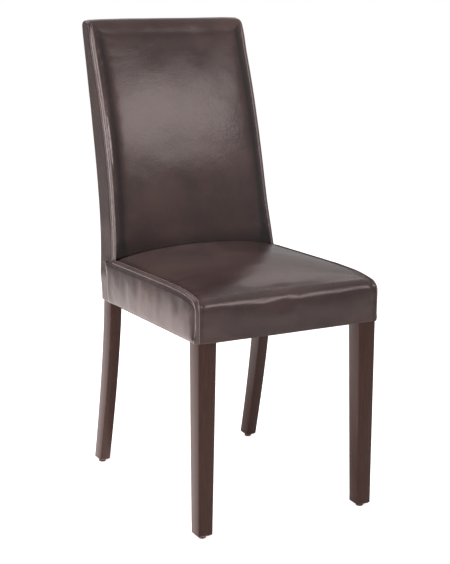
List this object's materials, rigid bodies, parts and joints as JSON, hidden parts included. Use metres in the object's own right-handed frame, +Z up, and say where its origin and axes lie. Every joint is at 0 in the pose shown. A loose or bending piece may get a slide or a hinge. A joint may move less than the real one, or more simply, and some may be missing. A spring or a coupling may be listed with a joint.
{
  "type": "parsons chair",
  "caption": "Armless upholstered dining chair with a fully covered seat and tall leaning back in dark brown leathercloth, on tapered stained wooden legs with plastic glides.",
  "frame": {"origin": "on the floor, under the centre of the chair's bounding box", "axes": "+X to the sitter's left, -Y the front of the seat, +Z up from the floor"},
  "size_m": [0.416, 0.5998, 1],
  "materials": {
    "stained_wood": "dark walnut stain under a satin lacquer",
    "raw_wood": "planed, unfinished",
    "plywood": "sanded, unfinished",
    "leathercloth": "smooth, semi-gloss coated",
    "foam": "open-cell",
    "black_cloth": "matt, spun-bonded",
    "glide_plastic": "moulded",
    "zinc_steel": "zinc plated"
  },
  "bodies": {
    "root": {"front_left_leg": "stained_wood", "rear_left_post": "stained_wood", "front_left_glide": "glide_plastic", "rear_left_glide": "glide_plastic", "left_rail": "raw_wood", "front_right_leg": "stained_wood", "rear_right_post": "stained_wood", "front_right_glide": "glide_plastic", "rear_right_glide": "glide_plastic", "right_rail": "raw_wood", "front_rail": "raw_wood", "rear_rail": "raw_wood", "back_lower_rail": "raw_wood", "back_middle_rail": "raw_wood", "back_top_rail": "raw_wood", "front_left_corner_block": "raw_wood", "front_left_block_screw_cross": "zinc_steel", "front_left_block_screw_side": "zinc_steel", "front_right_corner_block": "raw_wood", "front_right_block_screw_cross": "zinc_steel", "front_right_block_screw_side": "zinc_steel", "rear_left_corner_block": "raw_wood", "rear_left_block_screw_cross": "zinc_steel", "rear_left_block_screw_side": "zinc_steel", "rear_right_corner_block": "raw_wood", "rear_right_block_screw_cross": "zinc_steel", "rear_right_block_screw_side": "zinc_steel", "seat_board_screw_1": "zinc_steel", "seat_board_screw_2": "zinc_steel", "seat_board_screw_3": "zinc_steel", "seat_board_screw_4": "zinc_steel", "seat_board": "plywood", "back_board": "plywood", "seat_foam": "foam", "back_foam": "foam", "seat_cover_strip": "leathercloth", "seat_cover_left_band": "leathercloth", "seat_cover_right_band": "leathercloth", "back_cover_front": "leathercloth", "back_cover_left_band": "leathercloth", "back_cover_right_band": "leathercloth", "back_cover_rear": "leathercloth", "dust_cover": "black_cloth"}
  },
  "joints": []
}
